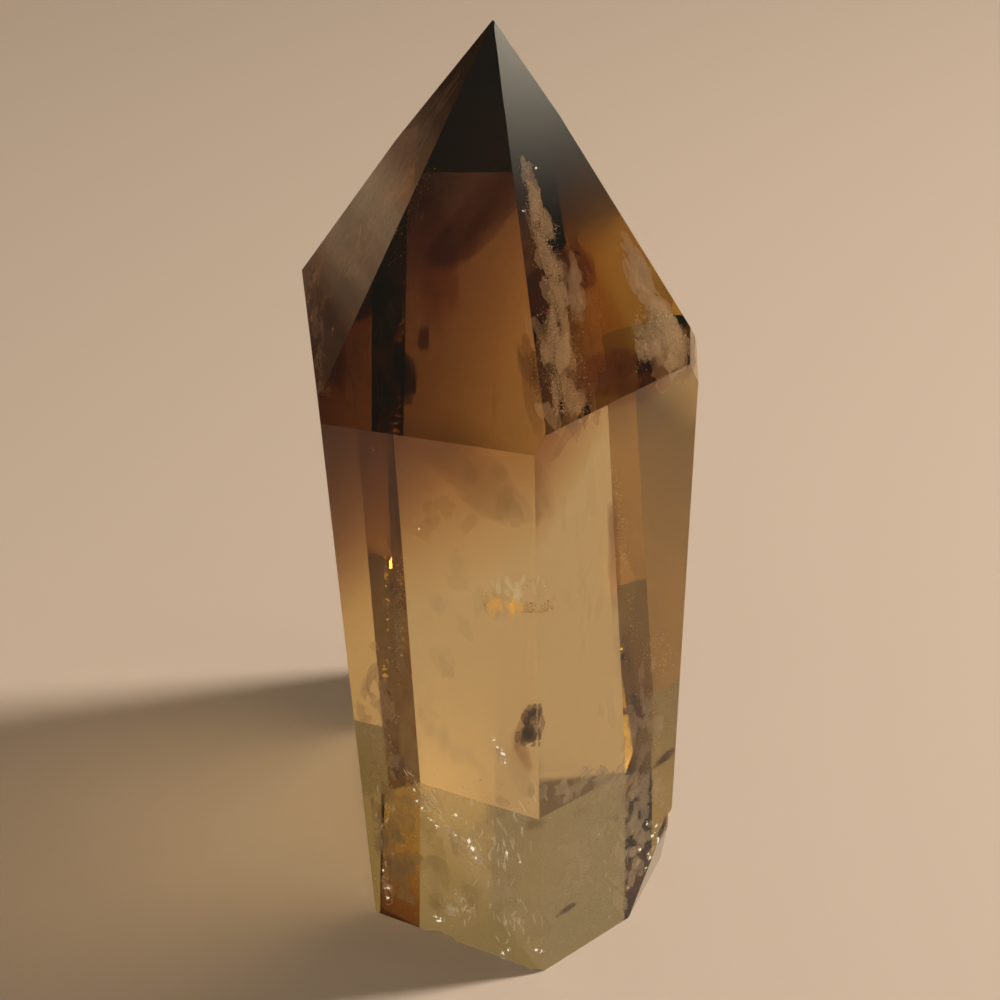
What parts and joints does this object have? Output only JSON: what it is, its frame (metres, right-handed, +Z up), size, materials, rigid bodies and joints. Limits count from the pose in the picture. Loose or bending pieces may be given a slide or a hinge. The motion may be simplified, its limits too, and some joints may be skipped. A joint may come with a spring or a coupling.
{
  "type": "crystal point",
  "caption": "Polished smoky yellow quartz point: a tall hexagonal prism with a flat cut foot and a faceted pointed tip, clear, with veils and specks inside.",
  "frame": {"origin": "centre of the bounding box in plan, on the flat cut foot", "axes": "+Z up along the crystal towards the point, -Y towards the broad front edge between the two front prism faces"},
  "size_m": [0.0306, 0.0422, 0.0801],
  "materials": {
    "smoky_citrine": "polished clear quartz, dark smoky brown at the tip, golden in the middle, pale olive yellow at the foot"
  },
  "bodies": {
    "root": {"crystal_point": "smoky_citrine"}
  },
  "joints": []
}
